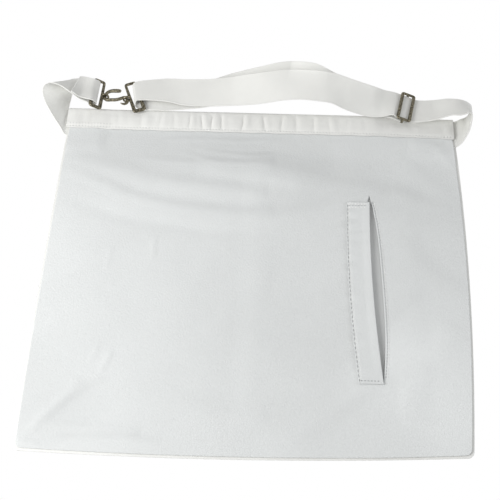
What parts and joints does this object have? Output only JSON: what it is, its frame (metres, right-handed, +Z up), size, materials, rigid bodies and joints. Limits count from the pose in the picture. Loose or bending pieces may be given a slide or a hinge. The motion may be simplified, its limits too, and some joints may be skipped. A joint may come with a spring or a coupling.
{
  "type": "masonic apron",
  "caption": "White masonic apron lying face down, with a pocket cut in its lining, a puckered waistband and a webbing belt closed by a snake hook behind it.",
  "frame": {"origin": "centre of the apron panel on the surface that it lies on", "axes": "+X along the waistband towards the slide buckle's end, +Y from the bottom hem towards the waistband, +Z up from the surface, out of the lining"},
  "size_m": [0.4522, 0.4144, 0.0383],
  "materials": {
    "leather": "smooth white lambskin",
    "lining": "fine matt weave",
    "pocketing": "fine matt weave",
    "band": "fine matt weave, gathered",
    "webbing": "ribbed elastic weave",
    "metal": "antique, dulled"
  },
  "bodies": {
    "root": {"front_panel": "leather", "back_panel": "lining", "pocket_bag": "pocketing", "pocket_welt": "lining", "waistband": "band", "strap_left": "webbing", "strap_right": "webbing", "slider": "metal", "hook_loop_left": "metal", "hook_loop_right": "metal", "snake_hook": "metal"}
  },
  "joints": []
}
